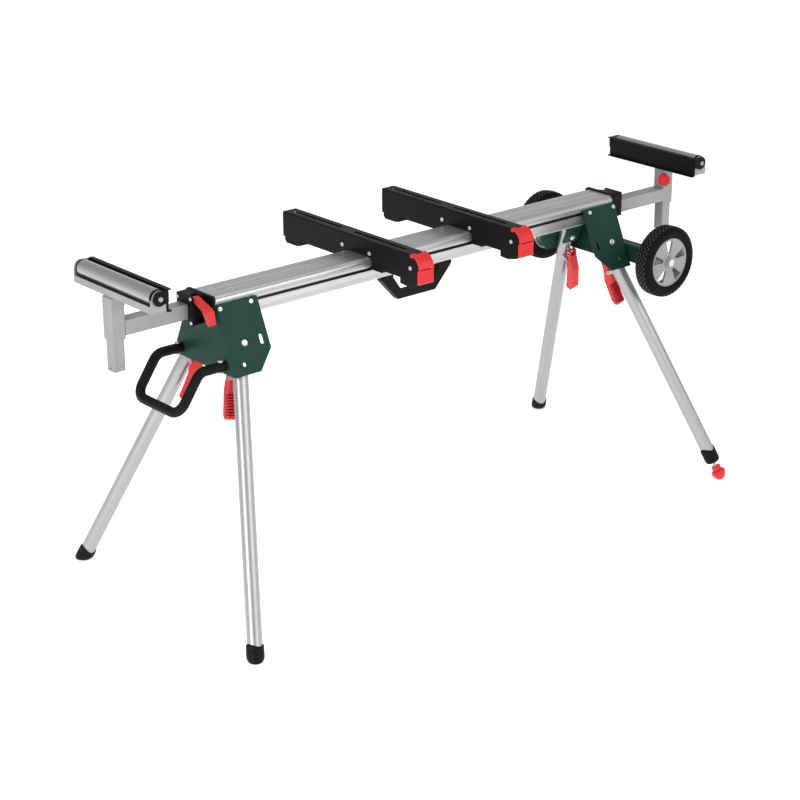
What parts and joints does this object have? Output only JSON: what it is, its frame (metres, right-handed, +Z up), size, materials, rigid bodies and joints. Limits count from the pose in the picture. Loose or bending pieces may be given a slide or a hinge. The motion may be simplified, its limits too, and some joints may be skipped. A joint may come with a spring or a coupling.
{
  "type": "folding saw stand",
  "caption": "Folding stand for a mitre saw: long beam, sliding roller supports, clamp-on saw rails, splayed folding legs and transport wheels.",
  "frame": {"origin": "on the floor, below the middle of the stand's outer box", "axes": "+X along the beam towards the wheels, +Y to the back, away from the rails' clamp levers, +Z up"},
  "size_m": [1.891, 0.808, 0.8975],
  "materials": {
    "beam_aluminium": "satin extruded",
    "leg_aluminium": "satin drawn tube",
    "grey_steel": "smooth grey paint",
    "roller_steel": "turned",
    "green_coat": "fine powder coat",
    "black_coat": "satin powder coat",
    "black_plastic": "fine grain",
    "clamp_black": "fine grain",
    "red_plastic": "moulded",
    "zinc_steel": "zinc plated",
    "foam_grip": "foam",
    "foot_rubber": "moulded",
    "tyre": "moulded tread",
    "rim_silver": "silver paint"
  },
  "bodies": {
    "frame": {"beam": "beam_aluminium", "end_cover_left": "black_plastic", "end_cover_right": "black_plastic", "tube_clamp_left": "clamp_black", "tube_clamp_right": "clamp_black", "leg_bracket_left": "green_coat", "leg_bracket_right": "green_coat", "pivot_plates": "green_coat", "pivot_bolts": "zinc_steel", "frame_screws": "zinc_steel", "lift_handle": "foam_grip", "carry_handle": "black_plastic", "axle_carrier": "green_coat", "wheel_axle": "zinc_steel"},
    "wheel_front": {"tyre_front": "tyre", "rim_front": "rim_silver"},
    "wheel_back": {"tyre_back": "tyre", "rim_back": "rim_silver"},
    "extension_left": {"extension_arm_left": "grey_steel"},
    "post_left": {"height_post_left": "grey_steel", "roller_cradle_left": "grey_steel"},
    "support_roller_left": {"roller_left": "roller_steel", "roller_caps_left": "black_plastic"},
    "stop_left": {"flip_stop_left": "black_coat"},
    "knob_left": {"post_knob_left": "red_plastic"},
    "cam_left": {"clamp_lever_left": "red_plastic"},
    "extension_right": {"extension_arm_right": "grey_steel"},
    "post_right": {"height_post_right": "grey_steel", "roller_cradle_right": "grey_steel"},
    "support_roller_right": {"roller_right": "roller_steel", "roller_caps_right": "black_plastic"},
    "stop_right": {"flip_stop_right": "black_coat"},
    "knob_right": {"post_knob_right": "red_plastic"},
    "cam_right": {"clamp_lever_right": "red_plastic"},
    "rail_left": {"saw_rail_left": "black_coat", "rail_blocks_left": "black_plastic", "rail_screws_left": "zinc_steel"},
    "rail_clamp_left": {"rail_lever_left": "red_plastic"},
    "rail_right": {"saw_rail_right": "black_coat", "rail_blocks_right": "black_plastic", "rail_screws_right": "zinc_steel"},
    "rail_clamp_right": {"rail_lever_right": "red_plastic"},
    "swing_leg_front_left": {"leg_front_left": "leg_aluminium", "foot_front_left": "foot_rubber"},
    "lock_lever_front_left": {"release_lever_front_left": "red_plastic"},
    "lock_front_left": {"lock_pin_front_left": "zinc_steel"},
    "swing_leg_back_left": {"leg_back_left": "leg_aluminium", "foot_back_left": "foot_rubber"},
    "lock_lever_back_left": {"release_lever_back_left": "red_plastic"},
    "lock_back_left": {"lock_pin_back_left": "zinc_steel"},
    "swing_leg_front_right": {"leg_front_right": "leg_aluminium", "foot_front_right": "black_plastic"},
    "lock_lever_front_right": {"release_lever_front_right": "red_plastic"},
    "lock_front_right": {"lock_pin_front_right": "zinc_steel"},
    "swing_leg_back_right": {"leg_back_right": "leg_aluminium", "foot_back_right": "foot_rubber"},
    "lock_lever_back_right": {"release_lever_back_right": "red_plastic"},
    "lock_back_right": {"lock_pin_back_right": "zinc_steel"},
    "levelling_foot": {"leveller": "red_plastic"}
  },
  "joints": [
    {"name": "wheel_front_spin", "type": "hinge", "parent": "frame", "child": "wheel_front", "pos_m": [0.706, 0, 0.65], "axis": [0, 1, 0], "continuous": true},
    {"name": "wheel_back_spin", "type": "hinge", "parent": "frame", "child": "wheel_back", "pos_m": [0.706, 0, 0.65], "axis": [0, 1, 0], "continuous": true},
    {"name": "extension_left_slide", "type": "slide", "parent": "frame", "child": "extension_left", "axis": [-1, 0, 0], "range_m": [-0.135, 0.95]},
    {"name": "post_left_slide", "type": "slide", "parent": "extension_left", "child": "post_left", "axis": [0, 0, 1], "range_m": [0, 0.1]},
    {"name": "roller_left_spin", "type": "hinge", "parent": "post_left", "child": "support_roller_left", "pos_m": [-0.919, 0, 0.877], "axis": [0, 1, 0], "continuous": true},
    {"name": "stop_left_flip", "type": "hinge", "parent": "post_left", "child": "stop_left", "pos_m": [-0.919, 0, 0.877], "axis": [0, -1, 0], "range_deg": [0, 90]},
    {"name": "knob_left_turn", "type": "hinge", "parent": "extension_left", "child": "knob_left", "pos_m": [-0.9265, 0.0205, 0.808], "axis": [0.7071, 0.7071, 0], "continuous": true},
    {"name": "cam_left_turn", "type": "hinge", "parent": "frame", "child": "cam_left", "pos_m": [-0.713, -0.008, 0.791], "axis": [-1, 0, 0], "range_deg": [0, 95]},
    {"name": "extension_right_slide", "type": "slide", "parent": "frame", "child": "extension_right", "axis": [1, 0, 0], "range_m": [-0.135, 0.95]},
    {"name": "post_right_slide", "type": "slide", "parent": "extension_right", "child": "post_right", "axis": [0, 0, 1], "range_m": [0, 0.1]},
    {"name": "roller_right_spin", "type": "hinge", "parent": "post_right", "child": "support_roller_right", "pos_m": [0.919, 0, 0.877], "axis": [0, 1, 0], "continuous": true},
    {"name": "stop_right_flip", "type": "hinge", "parent": "post_right", "child": "stop_right", "pos_m": [0.919, 0, 0.877], "axis": [0, 1, 0], "range_deg": [0, 90]},
    {"name": "knob_right_turn", "type": "hinge", "parent": "extension_right", "child": "knob_right", "pos_m": [0.9265, -0.0205, 0.808], "axis": [-0.7071, -0.7071, 0], "continuous": true},
    {"name": "cam_right_turn", "type": "hinge", "parent": "frame", "child": "cam_right", "pos_m": [0.713, 0.008, 0.791], "axis": [1, 0, 0], "range_deg": [0, 95]},
    {"name": "rail_left_slide", "type": "slide", "parent": "frame", "child": "rail_left", "axis": [1, 0, 0], "range_m": [-0.33, 0.12]},
    {"name": "rail_clamp_left_turn", "type": "hinge", "parent": "rail_left", "child": "rail_clamp_left", "pos_m": [-0.1707, -0.207, 0.84], "axis": [-1, 0, 0], "range_deg": [0, 100]},
    {"name": "rail_right_slide", "type": "slide", "parent": "frame", "child": "rail_right", "axis": [1, 0, 0], "range_m": [-0.12, 0.325]},
    {"name": "rail_clamp_right_turn", "type": "hinge", "parent": "rail_right", "child": "rail_clamp_right", "pos_m": [0.1744, -0.207, 0.84], "axis": [-1, 0, 0], "range_deg": [0, 100]},
    {"name": "leg_front_left_fold", "type": "hinge", "parent": "frame", "child": "swing_leg_front_left", "pos_m": [-0.637, -0.078, 0.677], "axis": [0, -0.9135, 0.4067], "range_deg": [0, 96.5]},
    {"name": "lock_lever_front_left_squeeze", "type": "hinge", "parent": "swing_leg_front_left", "child": "lock_lever_front_left", "pos_m": [-0.65771, -0.08111, 0.5938], "axis": [-0.9659, 0.1053, 0.2364], "range_deg": [0, 10.5], "stiffness_Nm_per_rad": 1.2, "springref_deg": -14.32},
    {"name": "lock_front_left_pull", "type": "slide", "parent": "swing_leg_front_left", "child": "lock_front_left", "axis": [0, 0.9135, -0.4067], "range_m": [0, 0.005]},
    {"name": "leg_back_left_fold", "type": "hinge", "parent": "frame", "child": "swing_leg_back_left", "pos_m": [-0.637, 0.078, 0.677], "axis": [0, -0.9135, -0.4067], "range_deg": [0, 96.5]},
    {"name": "lock_lever_back_left_squeeze", "type": "hinge", "parent": "swing_leg_back_left", "child": "lock_lever_back_left", "pos_m": [-0.65771, 0.08111, 0.5938], "axis": [0.9659, 0.1053, -0.2364], "range_deg": [0, 10.5], "stiffness_Nm_per_rad": 1.2, "springref_deg": -14.32},
    {"name": "lock_back_left_pull", "type": "slide", "parent": "swing_leg_back_left", "child": "lock_back_left", "axis": [0, -0.9135, -0.4067], "range_m": [0, 0.005]},
    {"name": "leg_front_right_fold", "type": "hinge", "parent": "frame", "child": "swing_leg_front_right", "pos_m": [0.637, -0.078, 0.677], "axis": [0, 0.9135, -0.4067], "range_deg": [0, 103]},
    {"name": "lock_lever_front_right_squeeze", "type": "hinge", "parent": "swing_leg_front_right", "child": "lock_lever_front_right", "pos_m": [0.65771, -0.08111, 0.5938], "axis": [-0.9659, -0.1053, -0.2364], "range_deg": [0, 10.5], "stiffness_Nm_per_rad": 1.2, "springref_deg": -14.32},
    {"name": "lock_front_right_pull", "type": "slide", "parent": "swing_leg_front_right", "child": "lock_front_right", "axis": [0, 0.9135, -0.4067], "range_m": [0, 0.005]},
    {"name": "leg_back_right_fold", "type": "hinge", "parent": "frame", "child": "swing_leg_back_right", "pos_m": [0.637, 0.078, 0.677], "axis": [0, 0.9135, 0.4067], "range_deg": [0, 103]},
    {"name": "lock_lever_back_right_squeeze", "type": "hinge", "parent": "swing_leg_back_right", "child": "lock_lever_back_right", "pos_m": [0.65771, 0.08111, 0.5938], "axis": [0.9659, -0.1053, 0.2364], "range_deg": [0, 10.5], "stiffness_Nm_per_rad": 1.2, "springref_deg": -14.32},
    {"name": "lock_back_right_pull", "type": "slide", "parent": "swing_leg_back_right", "child": "lock_back_right", "axis": [0, -0.9135, -0.4067], "range_m": [0, 0.005]},
    {"name": "levelling_foot_screw", "type": "slide", "parent": "swing_leg_front_right", "child": "levelling_foot", "axis": [-0.2588, 0.3929, 0.8824], "range_m": [-0.015, 0.01]}
  ],
  "couplings": [
    {"joint": "lock_front_left_pull", "follows": "lock_lever_front_left_squeeze", "m_per_rad": 0.026847},
    {"joint": "lock_back_left_pull", "follows": "lock_lever_back_left_squeeze", "m_per_rad": 0.026847},
    {"joint": "lock_front_right_pull", "follows": "lock_lever_front_right_squeeze", "m_per_rad": 0.026847},
    {"joint": "lock_back_right_pull", "follows": "lock_lever_back_right_squeeze", "m_per_rad": 0.026847}
  ]
}
